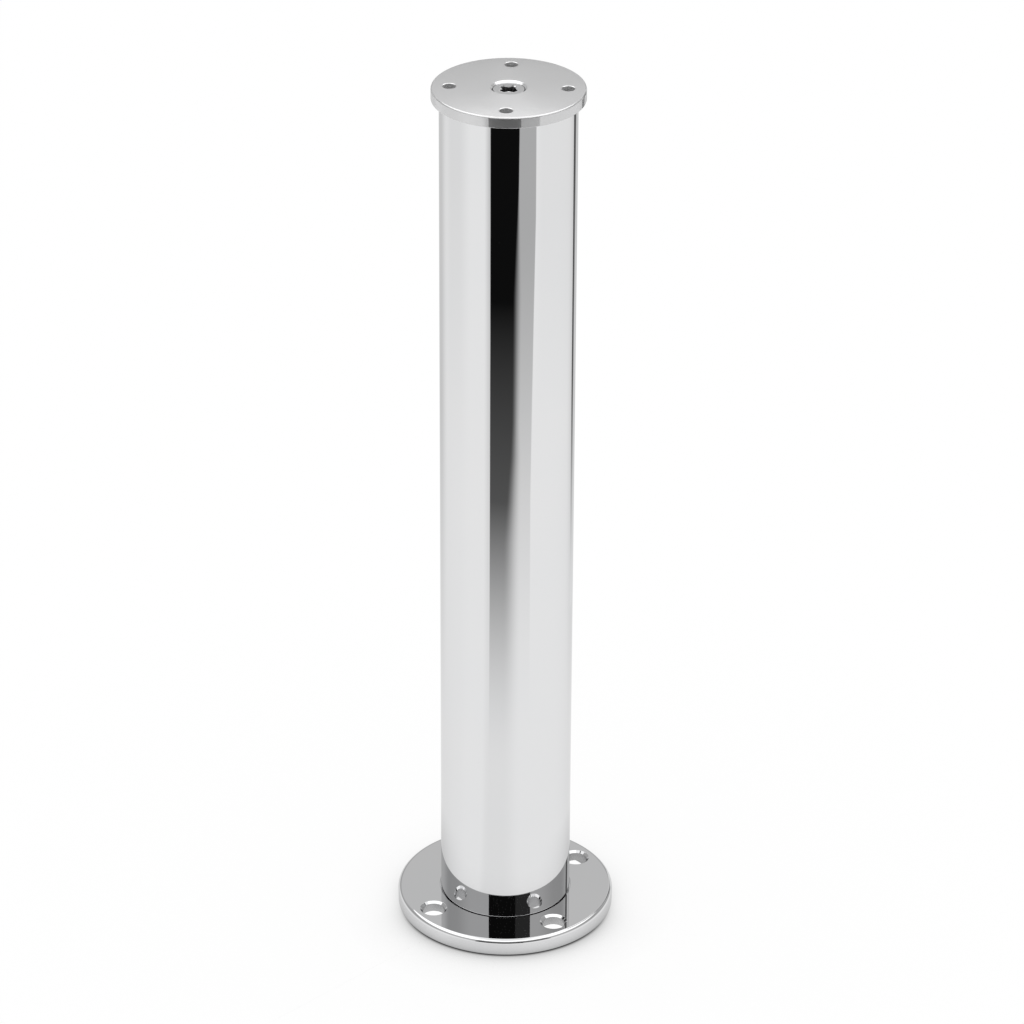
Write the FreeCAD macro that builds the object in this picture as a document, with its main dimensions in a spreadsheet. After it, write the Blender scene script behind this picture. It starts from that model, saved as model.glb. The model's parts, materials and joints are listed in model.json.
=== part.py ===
"""A column table leg: a chromed tube clamped between a foot flange and a top plate.

The tube stands in a shallow socket turned into the flange, and the plate's underside has a
matching socket that drops over the tube's upper end. A threaded rod inside the tube pulls the
two together. Each end of the rod carries a long coupling nut, kept from turning by a lock nut,
and a countersunk screw enters that nut through the plate or through the flange's hub.

Lengths are in millimetres and angles in degrees. The leg stands on the XY plane, with its axis
on +Z and the origin at the middle of the foot. Threads are plain cylinders at their outer size.
"""

import FreeCAD, Part

import os

import Sketcher

# Driving dimensions: name, size, what it is
SIZES = (
    ("tube_diameter", 60, "outside of the column tube"),
    ("tube_wall", 1.5, "tube wall"),
    ("tube_length", 400, "cut length of the tube"),
    ("tube_edge_break", 0.3, "chamfer on the outer edge of both tube ends"),
    ("socket_depth", 1.5, "depth of the sockets that take the tube's ends"),
    ("socket_clearance", 0.15, "radial gap between tube and socket"),
    ("flange_overhang", 20, "foot flange's edge beyond the tube"),
    ("flange_height", 8, "floor to the flange's upper face"),
    ("flange_edge_radius", 2, "rounding of the flange's upper edge"),
    ("flange_foot_break", 0.4, "chamfer on the flange's lower edge"),
    ("flange_skin", 5, "thickness of the flange above its hollow underside"),
    ("flange_rim_width", 3.5, "width of the ring that touches the floor"),
    ("hub_diameter", 26, "hub under the flange, round the base screw"),
    ("hub_floor_gap", 0.5, "hub face to floor"),
    ("floor_hole_count", 4, "screw holes in the flange"),
    ("floor_hole_diameter", 10.5, "bore of those holes"),
    ("floor_hole_mouth", 12.4, "their chamfer, across its upper edge"),
    ("floor_hole_turn", 34, "first of those holes, from +X towards +Y"),
    ("plate_overhang", 3.5, "top plate's edge beyond the tube"),
    ("plate_thickness", 5, "top plate, at its rim"),
    ("plate_upper_break", 0.6, "chamfer on the plate's upper edge"),
    ("plate_lower_break", 0.3, "chamfer on the plate's lower edge"),
    ("boss_diameter", 26, "boss under the plate, round the top screw"),
    ("boss_height", 4, "height of that boss"),
    ("table_hole_count", 4, "screw holes in the plate"),
    ("table_hole_diameter", 5.8, "bore of those holes"),
    ("table_hole_mouth", 6.6, "their chamfer, across its upper edge"),
    ("table_hole_wall_gap", 0.1, "those holes to the tube's bore"),
    ("table_hole_turn", -2.4, "first of those holes, from +X towards +Y"),
    ("screw_diameter", 8, "outside of the screw thread"),
    ("screw_length", 20, "head face to tip"),
    ("screw_tip_break", 0.8, "chamfer at the screw's tip"),
    ("screw_clearance", 0.3, "radial gap between screw and plain hole"),
    ("countersink_mouth", 15.8, "90 degree countersink, across its open end"),
    ("head_diameter", 13.9, "screw head"),
    ("head_land", 0.2, "straight edge of the screw head"),
    ("cross_depth", 3.2, "depth of the cross recess in the head"),
    ("cross_mouth_span", 9.2, "the recess at the head's face, tip to tip"),
    ("cross_floor_span", 4.4, "the recess at its floor, tip to tip"),
    ("cross_slot_width", 2.2, "width of its arms"),
    ("nut_flats", 13, "nuts, across flats"),
    ("coupling_length", 24, "coupling nuts"),
    ("lock_nut_height", 6.5, "lock nuts"),
    ("thread_clearance", 0.05, "radial gap that stands for a thread's flanks"),
    ("rod_end_break", 0.8, "chamfer at the rod's ends"),
    ("rod_end_gap", 1.4, "rod end to screw tip, inside each coupling nut"),
    ("tightening_gap", 3, "hub to lower coupling nut, left to draw the leg tight"),
)

# Tolerance for picking an edge by its radius and height
SAME_PLACE = 1e-6

# Angles that no size changes
FULL_TURN = 360
HALF_TURN = 180
RIGHT_ANGLE = 90
HEXAGON_SIDES = 6

# Heights and radii that several pieces share, as expressions in the sizes above
TUBE_FOOT = "(sizes.flange_height - sizes.socket_depth)"
TUBE_HEAD = f"({TUBE_FOOT} + sizes.tube_length)"
PLATE_FOOT = f"({TUBE_HEAD} - sizes.socket_depth)"
PLATE_TOP = f"({PLATE_FOOT} + sizes.plate_thickness)"
BOSS_FACE = f"({TUBE_HEAD} - sizes.boss_height)"
TUBE_RADIUS = "(sizes.tube_diameter / 2)"
BORE_RADIUS = f"({TUBE_RADIUS} - sizes.tube_wall)"
SOCKET_RADIUS = f"({TUBE_RADIUS} + sizes.socket_clearance)"
FLANGE_RADIUS = f"({TUBE_RADIUS} + sizes.flange_overhang)"
PLATE_RADIUS = f"({TUBE_RADIUS} + sizes.plate_overhang)"
FLOOR_HOLE_PLACE = f"({TUBE_RADIUS} + sizes.flange_overhang / 2)"
TABLE_HOLE_PLACE = f"({BORE_RADIUS} - sizes.table_hole_wall_gap - sizes.table_hole_diameter / 2)"
RELIEF_CEILING = "(sizes.flange_height - sizes.flange_skin)"
RELIEF_RADIUS = f"({FLANGE_RADIUS} - sizes.flange_rim_width)"
SCREW_RADIUS = "(sizes.screw_diameter / 2)"
SCREW_HOLE_RADIUS = f"({SCREW_RADIUS} + sizes.screw_clearance)"
THREAD_RADIUS = f"({SCREW_RADIUS} + sizes.thread_clearance)"
MOUTH_RADIUS = "(sizes.countersink_mouth / 2)"
HEAD_RADIUS = "(sizes.head_diameter / 2)"
HEAD_EDGE_FOOT = "(sizes.screw_length - sizes.head_land)"
SEAT_TO_TIP = f"({HEAD_EDGE_FOOT} + {MOUTH_RADIUS} - {HEAD_RADIUS})"
TOP_SCREW_TIP = f"({PLATE_TOP} - {SEAT_TO_TIP})"
BASE_SCREW_TIP = f"(sizes.hub_floor_gap + {SEAT_TO_TIP})"
UPPER_COUPLING_FOOT = f"({BOSS_FACE} - sizes.coupling_length)"
LOWER_COUPLING_FOOT = f"({TUBE_FOOT} + sizes.tightening_gap)"
LOWER_COUPLING_HEAD = f"({LOWER_COUPLING_FOOT} + sizes.coupling_length)"
ROD_FOOT = f"({BASE_SCREW_TIP} + sizes.rod_end_gap)"
ROD_HEAD = f"({TOP_SCREW_TIP} - sizes.rod_end_gap)"

doc = FreeCAD.newDocument("column_table_leg")


def make_sheet():
    """The spreadsheet that holds the driving dimensions."""
    page = doc.addObject("Spreadsheet::Sheet", "sizes")
    for row, (name, size, meaning) in enumerate(SIZES, 1):
        page.set(f"A{row}", name)
        page.set(f"B{row}", str(size))
        page.set(f"C{row}", meaning)
        page.setAlias(f"B{row}", name)
    doc.recompute()
    return page


sheet = make_sheet()


def value(expression):
    """What an expression in the sizes comes to, as a number."""
    return float(sheet.evalExpression(expression))


def start_body(label):
    """An empty body that carries a sub-part's name."""
    body = doc.addObject("PartDesign::Body", label)
    body.Label = label
    return body


def origin_feature(body, role):
    """One of a body's own origin planes or axes."""
    return next(item for item in body.Origin.OriginFeatures if item.Role == role)


def start_sketch(body, name, plane, height=None):
    """An empty sketch on an origin plane of the body, lifted to a height if one is given."""
    sketch = body.newObject("Sketcher::SketchObject", name)
    sketch.AttachmentSupport = [(origin_feature(body, plane), "")]
    sketch.MapMode = "FlatFace"
    if height:
        sketch.setExpression("AttachmentOffset.Base.z", height)
    return sketch


def bind(sketch, constraint, expression):
    """Adds a dimension to a sketch and ties it to an expression."""
    index = sketch.addConstraint(constraint)
    sketch.setExpression(f"Constraints[{index}]", expression)


def pin(sketch, geometry, end, across, up):
    """Fixes one end of a piece of geometry, measured from the sketch's origin."""
    origin = (-1, 1)
    point = (geometry, end)
    bind(sketch, Sketcher.Constraint("DistanceX", *origin, *point, value(across)), across)
    bind(sketch, Sketcher.Constraint("DistanceY", *origin, *point, value(up)), up)


def draw_outline(sketch, corners):
    """Closes a run of straight edges through the corners, each a pair of expressions."""
    start_point, end_point = 1, 2
    points = [FreeCAD.Vector(value(across), value(up), 0) for across, up in corners]
    for start, end in zip(points, points[1:] + points[:1]):
        sketch.addGeometry(Part.LineSegment(start, end), False)
    for number, (across, up) in enumerate(corners):
        following = (number + 1) % len(corners)
        sketch.addConstraint(
            Sketcher.Constraint("Coincident", number, end_point, following, start_point)
        )
        pin(sketch, number, start_point, across, up)


def turn_solid(body, name, corners):
    """A solid of revolution about the body's Z axis, from its half section."""
    sketch = start_sketch(body, f"{name}_section", "XZ_Plane")
    draw_outline(sketch, corners)
    feature = body.newObject("PartDesign::Revolution", name)
    feature.Profile = sketch
    feature.ReferenceAxis = (sketch, ["V_Axis"])
    feature.Angle = FULL_TURN
    doc.recompute()


def turn_away(body, name, corners):
    """Cuts a ring or cone about the body's Z axis, from its half section."""
    before = body.Shape.Volume
    sketch = start_sketch(body, f"{name}_section", "XZ_Plane")
    draw_outline(sketch, corners)
    feature = body.newObject("PartDesign::Groove", name)
    feature.Profile = sketch
    feature.ReferenceAxis = (sketch, ["V_Axis"])
    feature.Angle = FULL_TURN
    doc.recompute()
    check_cut(body, name, before)


def check_cut(body, name, before):
    """Stops the build where a cut has taken nothing away."""
    if not body.Shape.Volume < before:
        raise RuntimeError(f"{name} cuts nothing from {body.Label}")


def rings(feature, *places):
    """Names of the circular edges of a turned solid at the given radii and heights."""
    wanted = [(value(radius), value(height)) for radius, height in places]
    names = []
    for number, edge in enumerate(feature.Shape.Edges, 1):
        if not isinstance(edge.Curve, Part.Circle):
            continue
        here = (edge.Curve.Radius, edge.Curve.Center.z)
        if any(max(abs(here[0] - r), abs(here[1] - z)) < SAME_PLACE for r, z in wanted):
            names.append(f"Edge{number}")
    if len(names) != len(wanted):
        raise RuntimeError(f"{feature.Label} lacks an edge to round or chamfer")
    return names


def round_edges(body, name, radius, *places):
    """Rounds circular edges of the body's latest feature."""
    base = body.Tip
    feature = body.newObject("PartDesign::Fillet", name)
    feature.Base = (base, rings(base, *places))
    feature.setExpression("Radius", radius)
    doc.recompute()


def break_edges(body, name, size, *places):
    """Chamfers circular edges of the body's latest feature."""
    base = body.Tip
    feature = body.newObject("PartDesign::Chamfer", name)
    feature.Base = (base, rings(base, *places))
    feature.setExpression("Size", size)
    doc.recompute()


def drill_ring(body, kind, radius, height):
    """A ring of chamfered through holes, sunk from the face at the given height.

    The sizes of the holes have names that start with kind, such as floor_hole_diameter.
    """
    circle, centre = 0, 3
    before = body.Shape.Volume
    across = f"{radius} * cos(sizes.{kind}_turn * 1 deg)"
    up = f"{radius} * sin(sizes.{kind}_turn * 1 deg)"
    bore = f"sizes.{kind}_diameter"
    sketch = start_sketch(body, f"{kind}_centre", "XY_Plane", height)
    place = FreeCAD.Vector(value(across), value(up), 0)
    sketch.addGeometry(Part.Circle(place, FreeCAD.Vector(0, 0, 1), value(bore) / 2), False)
    pin(sketch, circle, centre, across, up)
    bind(sketch, Sketcher.Constraint("Diameter", circle, value(bore)), bore)
    doc.recompute()
    hole = body.newObject("PartDesign::Hole", kind)
    hole.Profile = sketch
    hole.DepthType = "ThroughAll"
    hole.Threaded = False
    hole.setExpression("Diameter", bore)
    hole.HoleCutType = "Countersink"
    hole.HoleCutCustomValues = True
    hole.setExpression("HoleCutDiameter", f"sizes.{kind}_mouth")
    hole.HoleCutCountersinkAngle = RIGHT_ANGLE
    doc.recompute()
    check_cut(body, kind, before)
    pattern = body.newObject("PartDesign::PolarPattern", f"{kind}_ring")
    pattern.Originals = [hole]
    pattern.Axis = (origin_feature(body, "Z_Axis"), [""])
    pattern.Angle = FULL_TURN
    pattern.setExpression("Occurrences", f"sizes.{kind}_count")
    body.Tip = pattern
    doc.recompute()


def place_body(body, height, upside_down=False):
    """Lifts a body along the leg's axis, turned over first if asked."""
    if upside_down:
        flip = FreeCAD.Rotation(FreeCAD.Vector(1, 0, 0), HALF_TURN)
        body.Placement = FreeCAD.Placement(FreeCAD.Vector(), flip)
    body.setExpression("Placement.Base.z", height)


def screw_seat(face, into):
    """Half section of a 90 degree countersink: its mouth at face, its depth along into."""
    drop = f"({MOUTH_RADIUS} - {SCREW_HOLE_RADIUS})"
    return (
        (SCREW_HOLE_RADIUS, face),
        (MOUTH_RADIUS, face),
        (SCREW_HOLE_RADIUS, f"{face} {into} {drop}"),
    )


def make_base_flange():
    """The foot: a dished flange with a socket above and a hub for the base screw below."""
    hub = "sizes.hub_diameter / 2"
    body = start_body("base_flange")
    turn_solid(
        body,
        "flange",
        (
            (SCREW_HOLE_RADIUS, "sizes.hub_floor_gap"),
            (hub, "sizes.hub_floor_gap"),
            (hub, RELIEF_CEILING),
            (RELIEF_RADIUS, RELIEF_CEILING),
            (RELIEF_RADIUS, "0"),
            (FLANGE_RADIUS, "0"),
            (FLANGE_RADIUS, "sizes.flange_height"),
            (SOCKET_RADIUS, "sizes.flange_height"),
            (SOCKET_RADIUS, TUBE_FOOT),
            (SCREW_HOLE_RADIUS, TUBE_FOOT),
        ),
    )
    upper_edge = (FLANGE_RADIUS, "sizes.flange_height")
    round_edges(body, "upper_rounding", "sizes.flange_edge_radius", upper_edge)
    break_edges(body, "foot_chamfer", "sizes.flange_foot_break", (FLANGE_RADIUS, "0"))
    turn_away(body, "base_screw_seat", screw_seat("sizes.hub_floor_gap", "+"))
    drill_ring(body, "floor_hole", FLOOR_HOLE_PLACE, "sizes.flange_height")
    return body


def make_column_tube():
    """The chromed tube, with its outer end edges broken to enter the sockets."""
    foot_edge = (TUBE_RADIUS, "0")
    head_edge = (TUBE_RADIUS, "sizes.tube_length")
    body = start_body("column_tube")
    turn_solid(
        body,
        "tube",
        ((BORE_RADIUS, "0"), foot_edge, head_edge, (BORE_RADIUS, "sizes.tube_length")),
    )
    break_edges(body, "end_chamfers", "sizes.tube_edge_break", foot_edge, head_edge)
    place_body(body, TUBE_FOOT)
    return body


def make_top_plate():
    """The plate under the table top, with a socket and a screw boss on its lower side."""
    boss = "sizes.boss_diameter / 2"
    boss_foot = "(sizes.socket_depth - sizes.boss_height)"
    body = start_body("top_plate")
    turn_solid(
        body,
        "plate",
        (
            (SCREW_HOLE_RADIUS, boss_foot),
            (boss, boss_foot),
            (boss, "sizes.socket_depth"),
            (SOCKET_RADIUS, "sizes.socket_depth"),
            (SOCKET_RADIUS, "0"),
            (PLATE_RADIUS, "0"),
            (PLATE_RADIUS, "sizes.plate_thickness"),
            (SCREW_HOLE_RADIUS, "sizes.plate_thickness"),
        ),
    )
    upper_edge = (PLATE_RADIUS, "sizes.plate_thickness")
    break_edges(body, "upper_chamfer", "sizes.plate_upper_break", upper_edge)
    break_edges(body, "lower_chamfer", "sizes.plate_lower_break", (PLATE_RADIUS, "0"))
    turn_away(body, "top_screw_seat", screw_seat("sizes.plate_thickness", "-"))
    drill_ring(body, "table_hole", TABLE_HOLE_PLACE, "sizes.plate_thickness")
    place_body(body, PLATE_FOOT)
    return body


def make_screw(label):
    """A countersunk screw with a cross recess, its tip at the body's origin."""
    cone_foot = f"({HEAD_EDGE_FOOT} - {HEAD_RADIUS} + {SCREW_RADIUS})"
    body = start_body(label)
    turn_solid(
        body,
        "shank_and_head",
        (
            ("0", "0"),
            (SCREW_RADIUS, "0"),
            (SCREW_RADIUS, cone_foot),
            (HEAD_RADIUS, HEAD_EDGE_FOOT),
            (HEAD_RADIUS, "sizes.screw_length"),
            ("0", "sizes.screw_length"),
        ),
    )
    break_edges(body, "tip_chamfer", "sizes.screw_tip_break", (SCREW_RADIUS, "0"))
    cut_cross(body)
    return body


def cut_cross(body):
    """The cross recess: two crossed slots that narrow from the head's face to their floor."""
    mouth = "(sizes.cross_mouth_span / 2)"
    floor = "(sizes.cross_floor_span / 2)"
    floor_height = "(sizes.screw_length - sizes.cross_depth)"
    corners = (
        (f"-{mouth}", "sizes.screw_length"),
        (f"-{floor}", floor_height),
        (floor, floor_height),
        (mouth, "sizes.screw_length"),
    )
    for name, plane in (("slot", "XZ_Plane"), ("cross_slot", "YZ_Plane")):
        before = body.Shape.Volume
        sketch = start_sketch(body, f"{name}_section", plane)
        draw_outline(sketch, corners)
        slot = body.newObject("PartDesign::Pocket", name)
        slot.Profile = sketch
        slot.Midplane = True
        slot.setExpression("Length", "sizes.cross_slot_width")
        doc.recompute()
        check_cut(body, name, before)


def make_nut(label, length, foot):
    """A hexagon nut with a bore at its thread's outer size."""
    side_turn = FULL_TURN // HEXAGON_SIDES
    corner = f"(sizes.nut_flats / 2 / cos({side_turn / 2} deg))"
    turns = range(0, FULL_TURN, side_turn)
    body = start_body(label)
    sketch = start_sketch(body, "hexagon", "XY_Plane")
    draw_outline(
        sketch,
        [(f"({corner} * cos({turn} deg))", f"({corner} * sin({turn} deg))") for turn in turns],
    )
    pad = body.newObject("PartDesign::Pad", "prism")
    pad.Profile = sketch
    pad.setExpression("Length", length)
    doc.recompute()
    turn_away(
        body,
        "thread_bore",
        (("0", "0"), (THREAD_RADIUS, "0"), (THREAD_RADIUS, length), ("0", length)),
    )
    place_body(body, foot)
    return body


def make_tie_rod():
    """The threaded rod that joins the two coupling nuts."""
    length = f"({ROD_HEAD} - {ROD_FOOT})"
    body = start_body("tie_rod")
    turn_solid(
        body,
        "rod",
        (("0", "0"), (SCREW_RADIUS, "0"), (SCREW_RADIUS, length), ("0", length)),
    )
    break_edges(
        body,
        "end_chamfers",
        "sizes.rod_end_break",
        (SCREW_RADIUS, "0"),
        (SCREW_RADIUS, length),
    )
    place_body(body, ROD_FOOT)
    return body


def make_leg():
    """Every sub-part of the leg, in its place."""
    top_screw = make_screw("top_screw")
    place_body(top_screw, TOP_SCREW_TIP)
    base_screw = make_screw("base_screw")
    place_body(base_screw, BASE_SCREW_TIP, upside_down=True)
    coupling = "sizes.coupling_length"
    lock = "sizes.lock_nut_height"
    return [
        make_base_flange(),
        make_column_tube(),
        make_top_plate(),
        top_screw,
        base_screw,
        make_nut("upper_coupling_nut", coupling, UPPER_COUPLING_FOOT),
        make_nut("lower_coupling_nut", coupling, LOWER_COUPLING_FOOT),
        make_nut("upper_lock_nut", lock, f"({UPPER_COUPLING_FOOT} - {lock})"),
        make_nut("lower_lock_nut", lock, LOWER_COUPLING_HEAD),
        make_tie_rod(),
    ]


def check_model(bodies):
    """Stops the build where a feature has failed or a solid isn't sound."""
    for item in doc.Objects:
        if {"Invalid", "Error"} & set(item.State):
            raise RuntimeError(f"{item.Label} failed: {item.State}")
    for body in bodies:
        shape = body.Shape
        if shape.isNull() or not shape.isValid() or len(shape.Solids) != 1:
            raise RuntimeError(f"{body.Label} isn't one sound solid")


leg = make_leg()
doc.recompute()
check_model(leg)
os.makedirs("parts", exist_ok=True)
for body in leg:
    body.Shape.exportStep(f"parts/{body.Label}.step")
    print(f"{body.Label}: {body.Shape.Volume:.1f} cubic mm")
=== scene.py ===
"""Looks for the column table leg: polished chrome and a satin turned plate in a white studio.

Lengths are in metres. Polished metal shows only what stands round it, so most of its look comes
from the studio: a white floor that ends in the dark in front, a grey wall and a light ceiling.
"""

import json
from math import atan2, cos, degrees, pi, radians, sin, sqrt

import bpy
from mathutils import Matrix, Vector
from mathutils.geometry import delaunay_2d_cdt

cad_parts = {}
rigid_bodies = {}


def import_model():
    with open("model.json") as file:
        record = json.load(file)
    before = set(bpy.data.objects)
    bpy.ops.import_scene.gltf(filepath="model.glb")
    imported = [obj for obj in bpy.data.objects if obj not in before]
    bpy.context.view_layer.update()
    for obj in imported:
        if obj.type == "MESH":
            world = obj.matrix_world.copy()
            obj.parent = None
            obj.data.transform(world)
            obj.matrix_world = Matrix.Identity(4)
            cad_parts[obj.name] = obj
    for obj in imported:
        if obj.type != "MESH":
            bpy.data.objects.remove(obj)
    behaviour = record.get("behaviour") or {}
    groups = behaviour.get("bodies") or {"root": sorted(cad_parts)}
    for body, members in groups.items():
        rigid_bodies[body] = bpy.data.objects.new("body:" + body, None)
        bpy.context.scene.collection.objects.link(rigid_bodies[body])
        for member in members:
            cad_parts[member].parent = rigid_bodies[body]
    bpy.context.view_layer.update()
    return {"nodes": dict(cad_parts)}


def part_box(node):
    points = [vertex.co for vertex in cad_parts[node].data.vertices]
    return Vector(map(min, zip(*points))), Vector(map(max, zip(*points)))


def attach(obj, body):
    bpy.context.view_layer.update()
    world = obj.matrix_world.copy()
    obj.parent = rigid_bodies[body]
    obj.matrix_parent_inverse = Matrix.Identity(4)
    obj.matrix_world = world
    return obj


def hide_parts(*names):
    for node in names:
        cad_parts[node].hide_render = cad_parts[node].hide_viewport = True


MM = 0.001

# Half sections that the frame's boxes don't give
SOCKET_RADIUS = 30.15 * MM
SOCKET_DEPTH = 1.5 * MM
TUBE_BORE_RADIUS = 28.5 * MM
TUBE_EDGE_ROUNDING = 0.3 * MM
FLANGE_ROUNDING = 2 * MM
FLANGE_FOOT_ROUNDING = 0.8 * MM
SEAM_RADIUS = 30.5 * MM
FLANGE_CEILING = 3 * MM
RELIEF_RADIUS = 46.5 * MM
HUB_RADIUS = 13 * MM
HUB_FLOOR_GAP = 0.5 * MM
PLATE_THICKNESS = 5 * MM
PLATE_ROUNDING = 0.8 * MM
PLATE_LOWER_ROUNDING = 0.3 * MM
BOSS_RADIUS = 13 * MM
SCREW_HOLE_RADIUS = 4.3 * MM
COUNTERSINK_RADIUS = 7.9 * MM
EDGE_WEAR = 0.12 * MM

# Rings of screw holes: bore, mouth of the chamfer, pitch circle and the first hole's angle
HOLE_COUNT = 4
FLOOR_HOLE = {"bore": 5.25 * MM, "mouth": 6.2 * MM, "place": 40 * MM, "turn": 34}
TABLE_HOLE = {"bore": 2.9 * MM, "mouth": 3.1 * MM, "place": 25.5 * MM, "turn": -2.4}

# Countersunk screws with a cross recess
SHANK_RADIUS = 4 * MM
HEAD_RADIUS = 6.8 * MM
HEAD_LAND = 0.3 * MM
HEAD_RISE = 0.1 * MM
HEAD_EDGE_ROUNDING = 0.15 * MM
SCREW_TIP_BREAK = 0.8 * MM
CROSS_DEPTH = 3.2 * MM
CROSS_TURN = 45
CROSS_MOUTH = {"reach": 4.3 * MM, "half_width": 1.3 * MM, "root": 2.1 * MM}
CROSS_FLOOR = {"reach": 2.5 * MM, "half_width": 0.8 * MM, "root": 1.2 * MM}
DOME_RINGS = (6.2 * MM, 5.4 * MM, 4.6 * MM, 3.8 * MM, 3 * MM, 2.2 * MM)

# Smoothness of round forms
LARGE_CIRCLE = 288
SMALL_CIRCLE = 72
LARGE_CIRCLE_FROM = 12 * MM
ROUNDING_STEPS = 8
SAME_PLACE_DIGITS = 8
MERGE_WITHIN = 1e-7

# Camera, from a perspective fit to the photograph
CAMERA_PLACE = Vector((0.0023, -1.8228, 1.1708))
CAMERA_TARGET = Vector((0.0023, 0, 0.2044))
CAMERA_ROLL = 0.288
CAMERA_FOCAL_PIXELS = 4600
PICTURE_PIXELS = 1024
SENSOR_WIDTH = 36

# The studio, which shows only in reflections apart from its floor. Angles are in degrees from the
# camera's side of the leg, positive to the right, and distances are from the leg's axis.
FLOOR_SIZE = 60
WALL_RADIUS = 3
WALL_HEIGHT = 2.7
CEILING_TONES = (1, 1.5)
CEILING_FADE = (0.5, 0.9)
HORIZON_FADE = (0, 0.9)
DARK_WALL_FADE = (1.1, 1.5)
FRONT_WALL_TONE = 0.52
SIDE_WALL_TONE = 0.42
BACK_WALL_TONE = 0.62
LOW_WALL_SHARE = 0.65
LOW_WALL_FADE = (0.9, 1.8)
SIDE_SECTOR = (60, 100)
BACK_SECTOR = (118, 150)
DARK_TONE = 0.005
DIM_TONE = 0.03
DARK_SECTOR_END = 18.1
GREY_SECTOR_END = 46.2
EDGE_SOFTNESS = 0.8
FLAG_DISTANCE = 0.3
CARD_DISTANCE = 0.6
CARD_SECTOR = (-28.8, 17.8, 44.6)
CARD_HEIGHTS = (0.33, 0.52)
CARD_STEP = 1
FLAG_FOOT = (138, 151)
FLAG_HEAD = (129, 151)
FLAG_HEIGHT = 0.5
FLAG_TONES = (0.97, 0.1)
FLAG_FOOT_FADE = (0, 0.15)
FLAG_SIDE_FADE = (139, 151)

# Where the floor darkens in front: the distances where each fade starts and ends
NEAR_TONE = 0.93
DARK_FADE = (0.17, 0.53)
DARK_TAIL = ((0.46, 0.1), (0.71, DARK_TONE))
GREY_FADE = (0.19, 0.83)
GREY_TONE = 0.51
LEFT_EDGE_TURN = ((0.25, -27.9), (0.95, -29.1))
INNER_EDGE_TURN = ((0.41, 9), (0.51, 14.3))
INNER_EDGE_DRIFT = ((0.51, 0), (0.96, 3.8))
INNER_EDGE_SOFTNESS = ((0.41, 15), (0.55, 7.5))
INNER_EDGE_SHARPENING = ((0.72, 0), (0.88, -6.7))
OUTER_EDGE_TURN = ((0.46, 39.2), (0.83, GREY_SECTOR_END))

# Faint greys of the floor elsewhere: the middle and spread of each in degrees, then the depth
# of its tone at two distances
LEFT_EDGE_DIP = (-29, (11, 0), ((0.23, 0.06), (0.93, 0.32)))
LEFT_SIDE_DIP = (-97, (35, 8), ((0.48, 0.02), (0.88, 0.11)))
RIGHT_SIDE_DIP = (118, (78, 58), ((0.53, 0), (0.83, 0.05)))
BACK_DIP = (180, (62, 30), ((0.18, 0), (0.53, 0.24)))
FOOT_DIP = (135, (90, 0), ((0.06, 0.21), (0.1, 0)))

# The floor as the camera sees it: its own glow, what lamps add, and the painted shadow under the
# foot's edge
FLOOR_GLOW = 0.84
FLOOR_COLOUR = 0.16
CONTACT_REACH = 30 * MM
CONTACT_SAMPLES = 8
CONTACT_BACK = 0.35
CONTACT_FRONT = (-35 * MM, 0)
CONTACT_LINE = (49.4 * MM, 51.4 * MM)
CONTACT_LINE_DARK = 0.8
CONTACT_LINE_FRONT = (-42 * MM, -5 * MM)
# Painted light: under the flange the floor glows near white, as if the flange cast no shade
GLOW_UNDER_FLANGE = 0.97

# Metals
CHROME_TONE = 0.765
CHROME_HAZE = {"Scale": 22, "Detail": 3}
CHROME_HAZE_SHARES = (0.6, 1.4)
CHROME_TINTS = ((0.985, 0.99, 1), (1, 1, 1.005))
CHROME_TINT_PLACES = (0.3, 0.7)
POLISH_LINES = {"Scale": 900, "Detail": 2}
POLISH_STRETCH = (1, 1, 0.02)
POLISH_DEPTH = 0.02 * MM
BRIGHT_FINISH = {"roughness": 0.025, "scratch": 0.1}
SCREW_FINISH = {"roughness": 0.1, "scratch": 0.4}
EDGE_TINT = 0.85
# Painted shade: the walls of the screw holes are darkened to these tones, and are also rougher
FLANGE_BORE_SHADE_AND_ROUGHNESS = {"inner": 32 * MM, "outer": 46.5 * MM, "tone": 0.6, "roughness": 0.4}
PLATE_BORE_SHADE_AND_ROUGHNESS = {"inner": 20 * MM, "outer": 30 * MM, "tone": 0.7, "roughness": 0.9}
WALL_FACING = 0.3
# Painted shade in the countersink round the top screw's head
SCREW_SEAT_SHADE = {"radius": 7.6 * MM, "below_top": 0.85 * MM, "tone": 0.15}
# Painted shade in the top screw's cross recess and below its head's edge, which are also rougher
RECESS_SHADE = {"edge": 0.5 * MM, "tone": 0.05, "roughness": 0.4}
PLATE_CROWN = 2.3
PLATE_SPREAD = 0.6
PLATE_SPREAD_TURN = 0.25
PLATE_RINGS = {"Scale": 110, "Distortion": 1.5, "Detail": 2}
PLATE_GRAIN = {"Scale": 60, "Detail": 4}
PLATE_GLOSS = (0.18, 0.25)
PLATE_TINTS = ((0.87, 0.87, 0.875), (0.9, 0.9, 0.905))
RIM_START = 33 * MM
RIM_TONE = 0.87
RIM_GLOSS_SHARE = 0.55
RIM_GLOSS = 0.06
RIM_HAZE = 0.6
RING_HAZE = 0.012
ZINC_CLOUDS = {"Scale": 260, "Detail": 5}
ZINC_TINTS = ((0.5, 0.52, 0.55), (0.66, 0.67, 0.68))
ZINC_GLOSS = (0.22, 0.4)

# The lamp's share of the even light, and its width in degrees
SUN_SHARE = 0.6
SUN_SPREAD = 75


def drop_default_objects():
    """Clears what a new Blender file holds."""
    for item in list(bpy.data.objects):
        bpy.data.objects.remove(item)


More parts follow.
